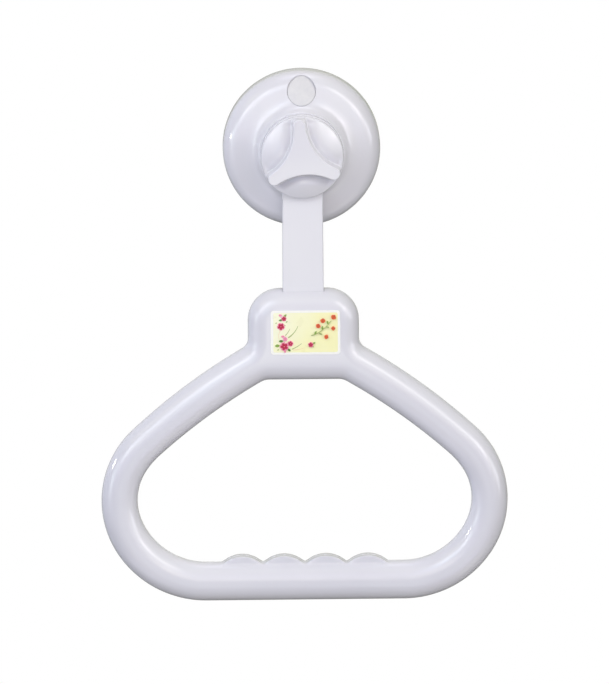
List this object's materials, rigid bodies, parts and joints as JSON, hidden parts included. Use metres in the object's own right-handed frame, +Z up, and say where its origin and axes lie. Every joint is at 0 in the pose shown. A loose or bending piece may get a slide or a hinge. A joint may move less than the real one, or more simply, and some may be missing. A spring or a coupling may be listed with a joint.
{
  "type": "suction grab bar",
  "caption": "Wall-mounted suction grab bar: vacuum cup with a twist-lock knob and release button, hanging strap and closed hand loop with finger scallops.",
  "frame": {"origin": "centre of the suction pad's wall face, on the cup's axis", "axes": "+Y into the wall along the cup's axis, +Z up with the handle hanging down, +X to the right as seen from the room"},
  "size_m": [0.2276, 0.0515, 0.2975],
  "materials": {
    "abs_white": "glossy moulded ABS, faintly cool white",
    "button_plastic": "slightly translucent satin white",
    "soft_pvc": "soft milky PVC, smooth",
    "dark_rubber": "matte",
    "acetal": "satin",
    "plated_steel": "zinc plated",
    "spring_steel": "drawn wire",
    "nut_brass": "machined",
    "printed_label": "printed film, pale yellow with a white border"
  },
  "bodies": {
    "cup": {"cup_cover": "abs_white", "suction_pad": "soft_pvc", "return_spring": "spring_steel", "friction_washer": "dark_rubber", "thrust_washer": "acetal", "button_spring": "spring_steel"},
    "post": {"threaded_post": "acetal", "pad_insert_plate": "plated_steel"},
    "knob": {"locking_knob": "abs_white", "knob_nut": "nut_brass"},
    "handle": {"hanger_strap": "abs_white", "handle_front_shell": "abs_white", "handle_rear_shell": "abs_white", "label": "printed_label", "strap_bolt_1": "plated_steel", "strap_bolt_2": "plated_steel", "strap_nut_1": "plated_steel", "strap_nut_2": "plated_steel", "shell_screw_1": "plated_steel", "shell_screw_2": "plated_steel", "shell_screw_3": "plated_steel", "shell_screw_4": "plated_steel", "shell_screw_5": "plated_steel", "shell_screw_6": "plated_steel", "screw_plug_1": "abs_white", "screw_plug_2": "abs_white", "screw_plug_3": "abs_white", "screw_plug_4": "abs_white", "screw_plug_5": "abs_white", "screw_plug_6": "abs_white"},
    "button": {"release_button": "button_plastic", "button_clip": "spring_steel", "vent_seal": "dark_rubber"}
  },
  "joints": [
    {"name": "knob_turn", "type": "hinge", "parent": "cup", "child": "knob", "pos_m": [0, -0.0415, 0], "axis": [0, 1, 0], "range_deg": [0, 450]},
    {"name": "post_slide", "type": "slide", "parent": "cup", "child": "post", "axis": [0, -1, 0], "range_m": [0, 0.005], "deforming": ["suction_pad", "return_spring"]},
    {"name": "strap_swivel", "type": "hinge", "parent": "cup", "child": "handle", "pos_m": [0, -0.0361, 0], "axis": [0, 1, 0], "continuous": true},
    {"name": "button_press", "type": "slide", "parent": "cup", "child": "button", "axis": [0, 1, 0], "range_m": [0, 0.0016], "stiffness_N_per_m": 1200, "deforming": ["button_spring"]}
  ],
  "couplings": [
    {"joint": "knob_turn", "follows": "post_slide", "rad_per_m": 1570.8}
  ]
}
